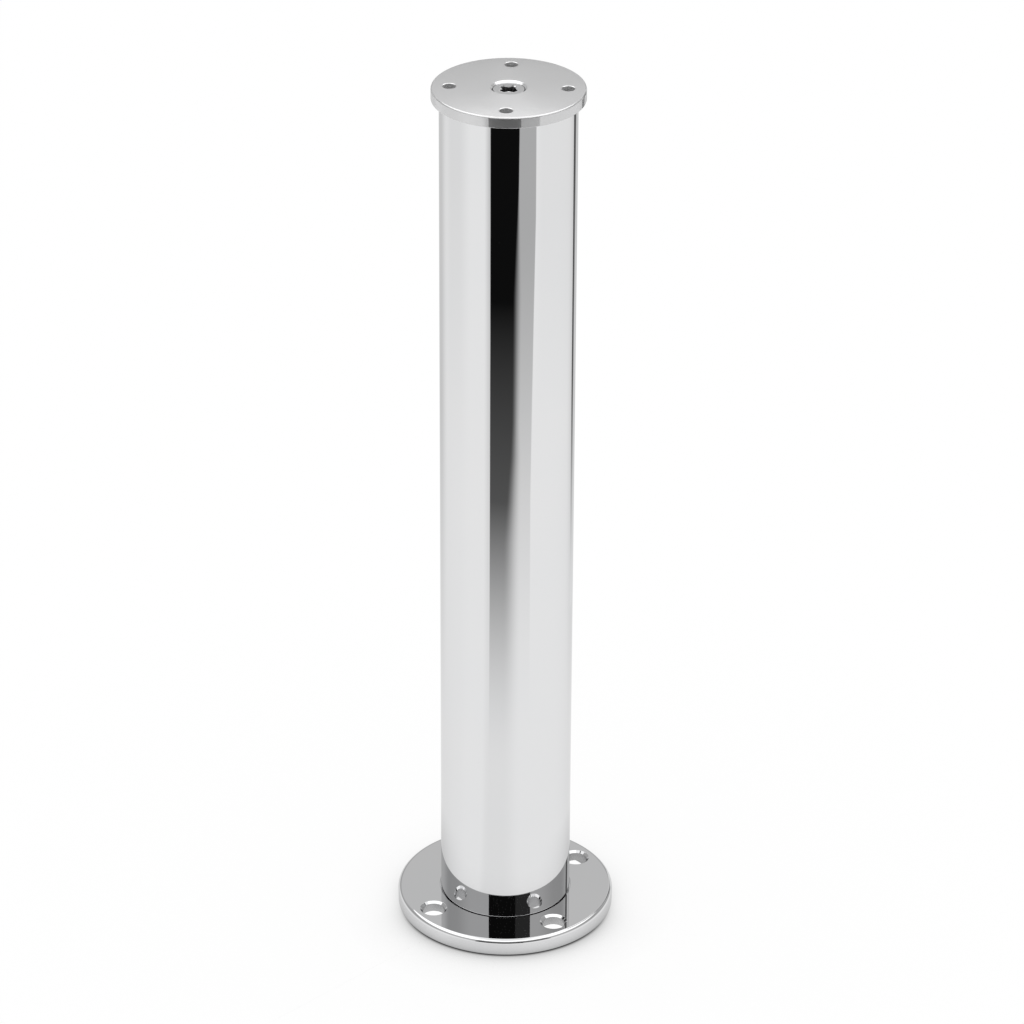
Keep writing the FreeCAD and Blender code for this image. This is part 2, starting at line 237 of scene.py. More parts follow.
class Shell:
    """A closed mesh that keeps its own true normal at every corner of every face."""

    def __init__(self):
        self.points = []
        self.faces = []
        self.normals = []
        self.circles = {}

    def circle(self, centre, radius, height):
        """Indices of the points of a level circle, made once for each place."""
        key = tuple(round(v, SAME_PLACE_DIGITS) for v in (*centre, radius, height))
        if key not in self.circles:
            count = LARGE_CIRCLE if radius > LARGE_CIRCLE_FROM else SMALL_CIRCLE
            if centre == (0, 0):
                count = LARGE_CIRCLE
            first = len(self.points)
            for step in range(count):
                turn = 2 * pi * step / count
                across = centre[0] + radius * cos(turn)
                along = centre[1] + radius * sin(turn)
                self.points.append((across, along, height))
            self.circles[key] = list(range(first, first + count))
        return self.circles[key]

    def add(self, face, normals):
        self.faces.append(face)
        self.normals.extend(normals)

    def place(self, x, y, z):
        """Index of a new loose point."""
        self.points.append((x, y, z))
        return len(self.points) - 1

    def flat(self, face):
        """A face with the plain normal of its first three corners."""
        a, b, c = (Vector(self.points[index]) for index in face[:3])
        self.add(face, [tuple((b - a).cross(c - b).normalized())] * len(face))

    def turn(self, run, centre=(0, 0)):
        """Turns a run of (radius, height, normal) about a vertical line.

        The metal lies to the left of the run's direction, in a half section seen from -Y.
        """
        for (r0, z0, n0), (r1, z1, n1) in zip(run, run[1:]):
            lower = self.circle(centre, r0, z0)
            upper = self.circle(centre, r1, z1)
            count = len(lower)
            for step in range(count):
                after = (step + 1) % count
                here, there = (2 * pi * s / count for s in (step, step + 1))
                self.add(
                    (lower[step], lower[after], upper[after], upper[step]),
                    (around(n0, here), around(n0, there), around(n1, there), around(n1, here)),
                )

    def level(self, height, outer, inners, up=1):
        """A level face inside one circle and outside others, each a centre and a radius."""
        loops = [self.circle(*circle, height) for circle in (outer, *inners)]

        def open_at(spot):
            return any((spot - Vector(centre)).length < radius for centre, radius in inners)

        for corners in self.fill(loops, [], open_at):
            if up < 0:
                corners.reverse()
            self.add(corners, [(0, 0, up)] * 3)

    def fill(self, loops, inside, open_at):
        """Triangles between loops of points and over loose points, apart from the open places."""
        indices = [index for loop in loops for index in loop] + list(inside)
        spots = [Vector(self.points[index][:2]) for index in indices]
        edges = []
        first = 0
        for loop in loops:
            count = len(loop)
            edges += [(first + s, first + (s + 1) % count) for s in range(count)]
            first += count
        places, _, triangles, sources, _, _ = delaunay_2d_cdt(spots, edges, [], 0, MERGE_WITHIN)
        for triangle in triangles:
            middle = sum((places[index] for index in triangle), Vector((0, 0))) / 3
            if not open_at(middle):
                yield [indices[sources[index][0]] for index in triangle]

    def build(self, name, material, node):
        """Makes the mesh an object that stands for a CAD node."""
        mesh = bpy.data.meshes.new(name)
        mesh.from_pydata(self.points, [], self.faces)
        mesh.validate()
        mesh.polygons.foreach_set("use_smooth", [True] * len(mesh.polygons))
        mesh.normals_split_custom_set(self.normals)
        mesh.materials.append(material)
        piece = bpy.data.objects.new(name, mesh)
        bpy.context.scene.collection.objects.link(piece)
        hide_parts(node)
        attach(piece, "root")


def around(normal, turn):
    """A half section's normal, swung round the axis."""
    across, up = normal
    return (across * cos(turn), across * sin(turn), up)


def straight(start, end):
    """A straight edge of a half section."""
    across, up = end[0] - start[0], end[1] - start[1]
    length = sqrt(across**2 + up**2)
    normal = (up / length, -across / length)
    return [(*start, normal), (*end, normal)]


def rounding(centre, radius, first, last):
    """A rounded outer edge of a half section, from one direction in degrees to another."""
    run = []
    for step in range(ROUNDING_STEPS + 1):
        turn = radians(first + (last - first) * step / ROUNDING_STEPS)
        normal = (cos(turn), sin(turn))
        run.append((centre[0] + radius * normal[0], centre[1] + radius * normal[1], normal))
    return run


def hole_centres(hole):
    """Centres of a ring of holes."""
    for number in range(HOLE_COUNT):
        turn = radians(hole["turn"] + 360 / HOLE_COUNT * number)
        yield (hole["place"] * cos(turn), hole["place"] * sin(turn))


def drill(shell, hole, top, bottom):
    """The walls of a ring of chamfered holes, with slightly worn edges."""
    mouth, bore = hole["mouth"], hole["bore"]
    chamfer_foot = top - (mouth - bore)
    wear = EDGE_WEAR * (1 - sqrt(0.5))
    for centre in hole_centres(hole):
        shell.turn(rounding((mouth + EDGE_WEAR, top - EDGE_WEAR), EDGE_WEAR, 90, 135), centre)
        shell.turn(straight((mouth + wear, top - wear), (bore, chamfer_foot)), centre)
        shell.turn(straight((bore, chamfer_foot), (bore, bottom)), centre)


def make_flange(material):
    """The foot flange, with its rounded edge, socket, hollow underside and hub."""
    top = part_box("base_flange")[1][2]
    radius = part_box("base_flange")[1][0]
    shell = Shell()
    floor = top - SOCKET_DEPTH
    rim = radius - FLANGE_ROUNDING
    foot = radius - FLANGE_FOOT_ROUNDING
    lip = SEAM_RADIUS + EDGE_WEAR
    mouths = [(centre, FLOOR_HOLE["mouth"] + EDGE_WEAR) for centre in hole_centres(FLOOR_HOLE)]
    bores = [(centre, FLOOR_HOLE["bore"]) for centre in hole_centres(FLOOR_HOLE)]
    seat_top = HUB_FLOOR_GAP + COUNTERSINK_RADIUS - SCREW_HOLE_RADIUS
    axis = (0, 0)
    shell.turn(rounding((foot, FLANGE_FOOT_ROUNDING), FLANGE_FOOT_ROUNDING, -90, 0))
    shell.turn(straight((radius, FLANGE_FOOT_ROUNDING), (radius, top - FLANGE_ROUNDING)))
    shell.turn(rounding((rim, top - FLANGE_ROUNDING), FLANGE_ROUNDING, 0, 90))
    shell.level(top, (axis, rim), [(axis, lip), *mouths])
    shell.turn(rounding((lip, top - EDGE_WEAR), EDGE_WEAR, 90, 180))
    shell.turn(straight((SEAM_RADIUS, top - EDGE_WEAR), (SEAM_RADIUS, floor)))
    shell.turn(straight((SEAM_RADIUS, floor), (SCREW_HOLE_RADIUS, floor)))
    shell.turn(straight((SCREW_HOLE_RADIUS, floor), (SCREW_HOLE_RADIUS, seat_top)))
    shell.turn(straight((SCREW_HOLE_RADIUS, seat_top), (COUNTERSINK_RADIUS, HUB_FLOOR_GAP)))
    shell.turn(straight((COUNTERSINK_RADIUS, HUB_FLOOR_GAP), (HUB_RADIUS, HUB_FLOOR_GAP)))
    shell.turn(straight((HUB_RADIUS, HUB_FLOOR_GAP), (HUB_RADIUS, FLANGE_CEILING)))
    shell.level(FLANGE_CEILING, (axis, RELIEF_RADIUS), [(axis, HUB_RADIUS), *bores], up=-1)
    shell.turn(straight((RELIEF_RADIUS, FLANGE_CEILING), (RELIEF_RADIUS, 0)))
    shell.turn(straight((RELIEF_RADIUS, 0), (foot, 0)))
    drill(shell, FLOOR_HOLE, top, FLANGE_CEILING)
    shell.build("flange_polished", material, "base_flange")


def make_tube(material):
    """The column tube, with both ends broken."""
    low, high = (corner[2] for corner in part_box("column_tube"))
    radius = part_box("column_tube")[1][0]
    edge = radius - TUBE_EDGE_ROUNDING
    shell = Shell()
    shell.turn(straight((TUBE_BORE_RADIUS, low), (edge, low)))
    shell.turn(rounding((edge, low + TUBE_EDGE_ROUNDING), TUBE_EDGE_ROUNDING, -90, 0))
    shell.turn(straight((radius, low + TUBE_EDGE_ROUNDING), (radius, high - TUBE_EDGE_ROUNDING)))
    shell.turn(rounding((edge, high - TUBE_EDGE_ROUNDING), TUBE_EDGE_ROUNDING, 0, 90))
    shell.turn(straight((edge, high), (TUBE_BORE_RADIUS, high)))
    shell.turn(straight((TUBE_BORE_RADIUS, high), (TUBE_BORE_RADIUS, low)))
    shell.build("tube_polished", material, "column_tube")


def make_plate(material):
    """The top plate, with its socket, boss, countersink and screw holes."""
    boss_face, top = (corner[2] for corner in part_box("top_plate"))
    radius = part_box("top_plate")[1][0]
    foot = top - PLATE_THICKNESS
    ceiling = foot + SOCKET_DEPTH
    rim = radius - PLATE_ROUNDING
    seat_foot = top - (COUNTERSINK_RADIUS - SCREW_HOLE_RADIUS)
    lower = radius - PLATE_LOWER_ROUNDING
    mouths = [(centre, TABLE_HOLE["mouth"] + EDGE_WEAR) for centre in hole_centres(TABLE_HOLE)]
    bores = [(centre, TABLE_HOLE["bore"]) for centre in hole_centres(TABLE_HOLE)]
    axis = (0, 0)
    shell = Shell()
    shell.turn(straight((SOCKET_RADIUS, foot), (lower, foot)))
    shell.turn(rounding((lower, foot + PLATE_LOWER_ROUNDING), PLATE_LOWER_ROUNDING, -90, 0))
    shell.turn(straight((radius, foot + PLATE_LOWER_ROUNDING), (radius, top - PLATE_ROUNDING)))
    shell.turn(rounding((rim, top - PLATE_ROUNDING), PLATE_ROUNDING, 0, 90))
    shell.level(top, (axis, rim), [(axis, COUNTERSINK_RADIUS + EDGE_WEAR), *mouths])
    shell.turn(rounding((COUNTERSINK_RADIUS + EDGE_WEAR, top - EDGE_WEAR), EDGE_WEAR, 90, 135))
    drop = EDGE_WEAR * (1 - sqrt(0.5))
    shell.turn(straight((COUNTERSINK_RADIUS + drop, top - drop), (SCREW_HOLE_RADIUS, seat_foot)))
    shell.turn(straight((SCREW_HOLE_RADIUS, seat_foot), (SCREW_HOLE_RADIUS, boss_face)))
    shell.turn(straight((SCREW_HOLE_RADIUS, boss_face), (BOSS_RADIUS, boss_face)))
    shell.turn(straight((BOSS_RADIUS, boss_face), (BOSS_RADIUS, ceiling)))
    shell.level(ceiling, (axis, SOCKET_RADIUS), [(axis, BOSS_RADIUS), *bores], up=-1)
    shell.turn(straight((SOCKET_RADIUS, ceiling), (SOCKET_RADIUS, foot)))
    drill(shell, TABLE_HOLE, top, ceiling)
    shell.build("plate_turned", material, "top_plate")


def cross_outline(level):
    """Corners of the cross recess in plan: each arm's two tips, then the corner between arms."""
    reach, half, root = level["reach"], level["half_width"], level["root"]
    for arm in range(4):
        turn = radians(CROSS_TURN + 90 * arm)
        for x, y in ((reach, -half), (reach, half), (root, root)):
            yield (x * cos(turn) - y * sin(turn), x * sin(turn) + y * cos(turn))


def inside_outline(spot, corners):
    """Whether a place in plan lies inside a closed outline."""
    crossings = 0
    for (x0, y0), (x1, y1) in zip(corners, corners[1:] + corners[:1]):
        if (y0 > spot.y) != (y1 > spot.y):
            crossings += spot.x < x0 + (spot.y - y0) / (y1 - y0) * (x1 - x0)
    return crossings % 2 == 1


def make_screw(name, node, head_up, material):
    """A countersunk screw with a slightly domed head, worked out with its tip at zero."""
    low, high = (corner[2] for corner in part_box(node))
    length = high - low
    edge = HEAD_RADIUS - HEAD_EDGE_ROUNDING
    land_foot = length - HEAD_LAND
    cone_foot = land_foot - (HEAD_RADIUS - SHANK_RADIUS)
    tip = SHANK_RADIUS - SCREW_TIP_BREAK
    rise = HEAD_RISE if head_up else 0
    shell = Shell()
    axis = (0, 0)
    shell.level(0, (axis, tip), [], up=-1)
    shell.turn(straight((tip, 0), (SHANK_RADIUS, SCREW_TIP_BREAK)))
    shell.turn(straight((SHANK_RADIUS, SCREW_TIP_BREAK), (SHANK_RADIUS, cone_foot)))
    shell.turn(straight((SHANK_RADIUS, cone_foot), (HEAD_RADIUS, land_foot)))
    rim_foot = length - HEAD_EDGE_ROUNDING
    shell.turn(straight((HEAD_RADIUS, land_foot), (HEAD_RADIUS, rim_foot)))
    shell.turn(rounding((edge, rim_foot), HEAD_EDGE_ROUNDING, 0, 90))
    make_head_face(shell, edge, length, rise)
    if not head_up:
        shell.points = [(x, -y, length - z) for x, y, z in shell.points]
        shell.normals = [(x, -y, -z) for x, y, z in shell.normals]
    shell.points = [(x, y, z + low) for x, y, z in shell.points]
    shell.build(name, material, node)


def make_head_face(shell, edge, height, rise):
    """The head's domed face and the cross recess in it."""
    dome_radius = (edge**2 + rise**2) / (2 * rise) if rise else None

    def lift(x, y):
        if not rise:
            return height
        return height + rise - dome_radius + sqrt(dome_radius**2 - x**2 - y**2)

    def facing(x, y):
        if not rise:
            return (0, 0, 1)
        return (x / dome_radius, y / dome_radius, sqrt(1 - (x**2 + y**2) / dome_radius**2))

    mouth = list(cross_outline(CROSS_MOUTH))
    brim = [shell.place(x, y, lift(x, y)) for x, y in mouth]
    loose = []
    for radius in DOME_RINGS:
        for step in range(SMALL_CIRCLE):
            turn = 2 * pi * (step + 0.5) / SMALL_CIRCLE
            spot = Vector((radius * cos(turn), radius * sin(turn)))
            if not inside_outline(spot, mouth):
                loose.append(shell.place(*spot, lift(*spot)))
    rim = shell.circle((0, 0), edge, height)
    for corners in shell.fill([rim, brim], loose, lambda spot: inside_outline(spot, mouth)):
        shell.add(corners, [facing(*shell.points[index][:2]) for index in corners])
    make_recess(shell, brim, height + rise - CROSS_DEPTH)


def make_recess(shell, brim, depth):
    """The walls of the cross recess below its brim, and its pointed floor."""
    bottom = [shell.place(x, y, depth) for x, y in cross_outline(CROSS_FLOOR)]
    around_floor = list(zip(range(len(bottom)), [*range(1, len(bottom)), 0]))
    for here, after in around_floor:
        shell.flat((brim[here], bottom[here], bottom[after], brim[after]))
    pit = shell.place(0, 0, depth - CROSS_FLOOR["half_width"])
    for here, after in around_floor:
        shell.flat((bottom[here], pit, bottom[after]))


def node_tree(name):
    """A new material's nodes and links, and its Principled shader."""
    material = bpy.data.materials.new(name)
    material.use_nodes = True
    tree = material.node_tree
    return material, tree, tree.nodes["Principled BSDF"]


def new_node(tree, kind, **settings):
    """A shader node with its settings, and with values for the inputs that settings name."""
    node = tree.nodes.new(kind)
    for key, setting in settings.items():
        if hasattr(node, key):
            setattr(node, key, setting)
        else:
            node.inputs[key.replace("_", " ")].default_value = setting
    return node


def within(tree, reading, low, high):
    """1 where a reading lies between two values."""
    above = math_node(tree, "GREATER_THAN", reading, low)
    return math_node(tree, "MULTIPLY", above, math_node(tree, "LESS_THAN", reading, high))


def height_and_facing(tree):
    """A shaded point's height, and how far its surface faces up or down."""
    surface = new_node(tree, "ShaderNodeNewGeometry")
    place = new_node(tree, "ShaderNodeSeparateXYZ")
    facing = new_node(tree, "ShaderNodeSeparateXYZ")
    tree.links.new(surface.outputs["Position"], place.inputs["Vector"])
    tree.links.new(surface.outputs["Normal"], facing.inputs["Vector"])
    return place.outputs["Z"], math_node(tree, "ABSOLUTE", facing.outputs["Z"])


def shaded_bore_walls(tree, bores):
    """1 on the walls of a ring of holes, which are made rougher and darkened with painted shade."""
    _, facing = height_and_facing(tree)
    _, distance = polar_place(tree)
    upright = math_node(tree, "LESS_THAN", facing, WALL_FACING)
    ring = within(tree, distance, bores["inner"], bores["outer"])
    return math_node(tree, "MULTIPLY", upright, ring)


def below_head_shade(tree, recess):
    """1 in the top screw's recess and below the edge of its head, where painted shade darkens it.
    """
    height, _ = height_and_facing(tree)
    return math_node(tree, "LESS_THAN", height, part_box("top_screw")[1][2] - recess["edge"])


def clouded(tree, reading, tints, places=(0, 1)):
    """A colour that goes from one tint to another as a reading does."""
    tint = new_node(tree, "ShaderNodeValToRGB")
    for stop, place, shade in zip(tint.color_ramp.elements, places, tints):
        stop.position = place
        stop.color = (*shade, 1)
    tree.links.new(reading, tint.inputs["Fac"])
    return tint.outputs["Color"]


def tinted(tree, colour, mask, tone):
    """A colour, darkened to a tone where a mask is 1."""
    mix = new_node(tree, "ShaderNodeMix", data_type="RGBA", blend_type="MULTIPLY")
    tree.links.new(mask, mix.inputs["Factor"])
    tree.links.new(colour, mix.inputs["A"])
    mix.inputs["B"].default_value = (tone, tone, tone, 1)
    return mix.outputs["Result"]


def chrome(name, tone, roughness, scratch, dull_and_shaded=None, mask_of=None):
    """Polished plating: a slight haze that varies, faint polishing lines, and recesses that are
    rougher and darkened with painted shade.
    """
    material, tree, shader = node_tree(name)
    link = tree.links.new
    shader.inputs["Metallic"].default_value = 1
    shader.inputs["Specular Tint"].default_value = (EDGE_TINT, EDGE_TINT, EDGE_TINT, 1)
    place = new_node(tree, "ShaderNodeTexCoord")
    haze = new_node(tree, "ShaderNodeTexNoise", **CHROME_HAZE)
    link(place.outputs["Object"], haze.inputs["Vector"])
    least, most = (roughness * share for share in CHROME_HAZE_SHARES)
    gloss = fade(tree, haze.outputs["Fac"], 0, 1, least, most, smooth=False)
    tints = [[tone * share for share in tint] for tint in CHROME_TINTS]
    colour = clouded(tree, haze.outputs["Fac"], tints, CHROME_TINT_PLACES)
    if dull_and_shaded:
        mask = mask_of(tree, dull_and_shaded)
        # painted shade: the masked places are darkened to their tone
        colour = tinted(tree, colour, mask, dull_and_shaded["tone"])
        gloss = blend(tree, mask, gloss, dull_and_shaded["roughness"])
    link(gloss, shader.inputs["Roughness"])
    link(colour, shader.inputs["Base Color"])
    stretch = new_node(tree, "ShaderNodeMapping", Scale=POLISH_STRETCH)
    lines = new_node(tree, "ShaderNodeTexNoise", **POLISH_LINES)
    link(place.outputs["Object"], stretch.inputs["Vector"])
    link(stretch.outputs["Vector"], lines.inputs["Vector"])
    bump = new_node(tree, "ShaderNodeBump", Strength=scratch, Distance=POLISH_DEPTH)
    link(lines.outputs["Fac"], bump.inputs["Height"])
    link(bump.outputs["Normal"], shader.inputs["Normal"])
    return material


def crowned_normal(tree):
    """The surface's normal, tilted outwards a little as on a slightly crowned plate."""
    surface = new_node(tree, "ShaderNodeNewGeometry")
    outwards = new_node(tree, "ShaderNodeVectorMath", operation="MULTIPLY")
    tree.links.new(surface.outputs["Position"], outwards.inputs[0])
    outwards.inputs[1].default_value = (PLATE_CROWN, PLATE_CROWN, 0)
    total = new_node(tree, "ShaderNodeVectorMath", operation="ADD")
    tree.links.new(surface.outputs["Normal"], total.inputs[0])
    tree.links.new(outwards.outputs["Vector"], total.inputs[1])
    unit = new_node(tree, "ShaderNodeVectorMath", operation="NORMALIZE")
    tree.links.new(total.outputs["Vector"], unit.inputs[0])
    return unit.outputs["Vector"]


def seat_shade_mask(tree, distance):
    """1 in the top plate's countersink, round and below the screw's head, where painted shade
    darkens it.
    """
    height, _ = height_and_facing(tree)
    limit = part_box("top_plate")[1][2] - SCREW_SEAT_SHADE["below_top"]
    below = math_node(tree, "LESS_THAN", height, limit)
    near = math_node(tree, "LESS_THAN", distance, SCREW_SEAT_SHADE["radius"])
    return math_node(tree, "MULTIPLY", below, near)


def satin_plate():
    """Plating over fine turned rings, which spread light away from the middle."""
    material, tree, shader = node_tree("turned_plate")
    link = tree.links.new
    shader.inputs["Metallic"].default_value = 1
    shader.inputs["Anisotropic"].default_value = PLATE_SPREAD
    shader.inputs["Anisotropic Rotation"].default_value = PLATE_SPREAD_TURN
    place = new_node(tree, "ShaderNodeTexCoord")
    direction = new_node(tree, "ShaderNodeTangent", direction_type="RADIAL", axis="Z")
    link(direction.outputs["Tangent"], shader.inputs["Tangent"])
    rings = new_node(
        tree, "ShaderNodeTexWave", wave_type="RINGS", rings_direction="Z", **PLATE_RINGS
    )
    link(place.outputs["Object"], rings.inputs["Vector"])
    grain = new_node(tree, "ShaderNodeTexNoise", **PLATE_GRAIN)
    link(place.outputs["Object"], grain.inputs["Vector"])
    bores = shaded_bore_walls(tree, PLATE_BORE_SHADE_AND_ROUGHNESS)
    gloss = fade(tree, grain.outputs["Fac"], 0, 1, *PLATE_GLOSS, smooth=False)
    _, distance = polar_place(tree)
    rim = math_node(tree, "GREATER_THAN", distance, RIM_START)
    gloss = blend(tree, bores, gloss, PLATE_BORE_SHADE_AND_ROUGHNESS["roughness"])
    gloss = math_node(tree, "MULTIPLY_ADD", rings.outputs["Fac"], RING_HAZE, gloss)
    link(blend(tree, rim, gloss, RIM_HAZE), shader.inputs["Roughness"])
    colour = clouded(tree, grain.outputs["Fac"], PLATE_TINTS)
    # painted shade: the hole walls are darkened
    colour = tinted(tree, colour, bores, PLATE_BORE_SHADE_AND_ROUGHNESS["tone"])
    # painted shade: the countersink below the screw's head is darkened
    colour = tinted(tree, colour, seat_shade_mask(tree, distance), SCREW_SEAT_SHADE["tone"])
    colour = tinted(tree, colour, rim, RIM_TONE)
    link(colour, shader.inputs["Base Color"])
    link(crowned_normal(tree), shader.inputs["Normal"])
    glossy = new_node(tree, "ShaderNodeBsdfPrincipled", Metallic=1, Roughness=RIM_GLOSS)
    link(colour, glossy.inputs["Base Color"])
    both = new_node(tree, "ShaderNodeMixShader")
    link(math_node(tree, "MULTIPLY", rim, RIM_GLOSS_SHARE), both.inputs["Fac"])
    link(shader.outputs["BSDF"], both.inputs[1])
    link(glossy.outputs["BSDF"], both.inputs[2])
    link(both.outputs["Shader"], tree.nodes["Material Output"].inputs["Surface"])
    return material


def zinc():
    """Bright zinc plating, with its cloudy grain."""
    material, tree, shader = node_tree("zinc")
    link = tree.links.new
    shader.inputs["Metallic"].default_value = 1
    place = new_node(tree, "ShaderNodeTexCoord")
    cloud = new_node(tree, "ShaderNodeTexNoise", **ZINC_CLOUDS)
    link(place.outputs["Object"], cloud.inputs["Vector"])
    link(clouded(tree, cloud.outputs["Fac"], ZINC_TINTS), shader.inputs["Base Color"])
    gloss = fade(tree, cloud.outputs["Fac"], 0, 1, *ZINC_GLOSS, smooth=False)
    link(gloss, shader.inputs["Roughness"])
    return material


def math_node(tree, operation, *values):
    """A Math node whose inputs are numbers or other nodes' outputs."""
    node = new_node(tree, "ShaderNodeMath", operation=operation)
    for socket, item in zip(node.inputs, values):
        if isinstance(item, (int, float)):
            socket.default_value = item
        else:
            tree.links.new(item, socket)
    return node.outputs[0]


def polar_place(tree):
    """Angle from the camera's side in degrees, and distance from the leg, of a shaded point."""
    spot = new_node(tree, "ShaderNodeNewGeometry").outputs["Position"]
    parts = new_node(tree, "ShaderNodeSeparateXYZ")
    tree.links.new(spot, parts.inputs["Vector"])
    x, y = parts.outputs["X"], parts.outputs["Y"]
    towards = math_node(tree, "MULTIPLY", y, -1.0)
    angle = math_node(tree, "MULTIPLY", math_node(tree, "ARCTAN2", x, towards), degrees(1))
    squares = (math_node(tree, "MULTIPLY", x, x), math_node(tree, "MULTIPLY", y, y))
    return angle, math_node(tree, "SQRT", math_node(tree, "ADD", *squares))


def fade(tree, reading, start, end, low=0.0, high=1.0, smooth=True):
    """Goes from low to high as a reading goes from start to end."""
    node = new_node(tree, "ShaderNodeMapRange")
    if smooth:
        node.interpolation_type = "SMOOTHSTEP"
    for number, item in enumerate((reading, start, end, low, high)):
        if isinstance(item, (int, float)):
            node.inputs[number].default_value = item
        else:
            tree.links.new(item, node.inputs[number])
    return node.outputs["Result"]


def edge_step(tree, angle, place, softness):
    """Goes from 0 to 1 where the angle passes a place, over that softness on each side."""
    below = math_node(tree, "SUBTRACT", place, softness)
    above = math_node(tree, "ADD", place, softness)
    return fade(tree, angle, below, above)


def blend(tree, share, first, second):
    """A value between two others."""
    gap = math_node(tree, "SUBTRACT", second, first)
    return math_node(tree, "MULTIPLY_ADD", share, gap, first)


def ramp(tree, distance, points):
    """A straight change between two (distance, value) points, and level outside them."""
    (start, low), (end, high) = points
    return fade(tree, distance, start, end, low, high, smooth=False)


def front_mask(tree, angle, start, end):
    """1 in the darker sectors in front of the leg, from one angle to another."""
    opens = edge_step(tree, angle, start, EDGE_SOFTNESS)
    closes = edge_step(tree, angle, end, EDGE_SOFTNESS)
    return math_node(tree, "SUBTRACT", opens, closes)


def dip(tree, angle, distance, shape):
    """How much a faint grey sector takes from the floor's tone."""
    middle, (outer, inner), depth = shape
    off = math_node(tree, "ABSOLUTE", math_node(tree, "SUBTRACT", angle, middle))
    share = fade(tree, off, inner, outer, 1.0, 0.0)
    return math_node(tree, "MULTIPLY", share, ramp(tree, distance, depth))


def floor_tone(tree):
    """The floor's tone in reflections: white by the leg and dark where the studio ends."""
    angle, distance = polar_place(tree)
    gone = fade(tree, distance, *DARK_FADE, NEAR_TONE, 0.0)
    dark = math_node(tree, "MAXIMUM", gone, ramp(tree, distance, DARK_TAIL))
    grey = fade(tree, distance, *GREY_FADE, 1.0, GREY_TONE)
    edge = math_node(
        tree,
        "ADD",
        ramp(tree, distance, INNER_EDGE_TURN),
        ramp(tree, distance, INNER_EDGE_DRIFT),
    )
    softness = math_node(
        tree,
        "ADD",
        ramp(tree, distance, INNER_EDGE_SOFTNESS),
        ramp(tree, distance, INNER_EDGE_SHARPENING),
    )
    sectors = blend(tree, edge_step(tree, angle, edge, softness), dark, grey)
    rest = math_node(tree, "SUBTRACT", 1.0, dip(tree, angle, distance, LEFT_EDGE_DIP))
    for shape in (LEFT_SIDE_DIP, RIGHT_SIDE_DIP):
        rest = math_node(tree, "SUBTRACT", rest, dip(tree, angle, distance, shape))
    width = math_node(tree, "ABSOLUTE", angle)
    for shape in (BACK_DIP, FOOT_DIP):
        rest = math_node(tree, "SUBTRACT", rest, dip(tree, width, distance, shape))
    left_edge = ramp(tree, distance, LEFT_EDGE_TURN)
    mask = front_mask(tree, angle, left_edge, ramp(tree, distance, OUTER_EDGE_TURN))
    return blend(tree, mask, rest, sectors), distance


def contact_shade(tree, distance):
    """A painted shadow: the soft dark line round the foot, stronger in front, and none under the
    foot itself.
    """
    near = new_node(tree, "ShaderNodeAmbientOcclusion", samples=CONTACT_SAMPLES)
    near.inputs["Distance"].default_value = CONTACT_REACH
    hidden = math_node(tree, "SUBTRACT", 1.0, near.outputs["AO"])
    spot = new_node(tree, "ShaderNodeNewGeometry").outputs["Position"]
    parts = new_node(tree, "ShaderNodeSeparateXYZ")
    tree.links.new(spot, parts.inputs["Vector"])
    share = fade(tree, parts.outputs["Y"], *CONTACT_FRONT, 1.0, CONTACT_BACK)
    outside = math_node(tree, "GREATER_THAN", distance, RELIEF_RADIUS)
    shade = math_node(tree, "MULTIPLY", math_node(tree, "MULTIPLY", hidden, share), outside)
    depth = fade(tree, parts.outputs["Y"], *CONTACT_LINE_FRONT, CONTACT_LINE_DARK, 0.0)
    line = fade(tree, distance, *CONTACT_LINE, 1.0, 0.0)
    line = math_node(tree, "MULTIPLY", math_node(tree, "MULTIPLY", line, depth), outside)
    shades = (math_node(tree, "SUBTRACT", 1.0, shade), math_node(tree, "SUBTRACT", 1.0, line))
    return math_node(tree, "MULTIPLY", *shades)


def seen_ray(tree):
    """1 for what the camera sees, straight or in a reflection."""
    path = new_node(tree, "ShaderNodeLightPath")
    mirrored = math_node(
        tree,
        "MAXIMUM",
        path.outputs["Is Glossy Ray"],
        path.outputs["Is Transmission Ray"],
    )
    return math_node(tree, "MAXIMUM", path.outputs["Is Camera Ray"], mirrored)


def floor_material():
    """White to the eye with a soft shadow, and toned in reflections."""
    material, tree, shader = node_tree("studio_floor")
    tree.nodes.remove(shader)
    link = tree.links.new
    path = new_node(tree, "ShaderNodeLightPath")
    tone, distance = floor_tone(tree)
    toned = blend(tree, path.outputs["Is Glossy Ray"], 1.0, tone)
    # the painted contact shadow darkens both the glow and the lamp-lit colour
    shaded = math_node(tree, "MULTIPLY", toned, contact_shade(tree, distance))
    diffuse = new_node(tree, "ShaderNodeBsdfDiffuse")
    link(math_node(tree, "MULTIPLY", shaded, FLOOR_COLOUR), diffuse.inputs["Color"])
    # painted light: a stronger glow under the flange
    outside = math_node(tree, "GREATER_THAN", distance, RELIEF_RADIUS)
    glow_share = blend(tree, outside, GLOW_UNDER_FLANGE, FLOOR_GLOW)
    strength = math_node(tree, "MULTIPLY", seen_ray(tree), glow_share)
    glow = new_node(tree, "ShaderNodeEmission")
    link(math_node(tree, "MULTIPLY", strength, shaded), glow.inputs["Strength"])
    both = new_node(tree, "ShaderNodeAddShader")
    link(diffuse.outputs["BSDF"], both.inputs[0])
    link(glow.outputs["Emission"], both.inputs[1])
    link(both.outputs["Shader"], tree.nodes["Material Output"].inputs["Surface"])
    return material


def glow_by(name, tone_of):
    """A glow whose tone a function works out."""
    material, tree, shader = node_tree(name)
    tree.nodes.remove(shader)
    glow = new_node(tree, "ShaderNodeEmission")
    tree.links.new(tone_of(tree), glow.inputs["Strength"])
    tree.links.new(glow.outputs["Emission"], tree.nodes["Material Output"].inputs["Surface"])
    material.cycles.emission_sampling = "NONE"
    return material


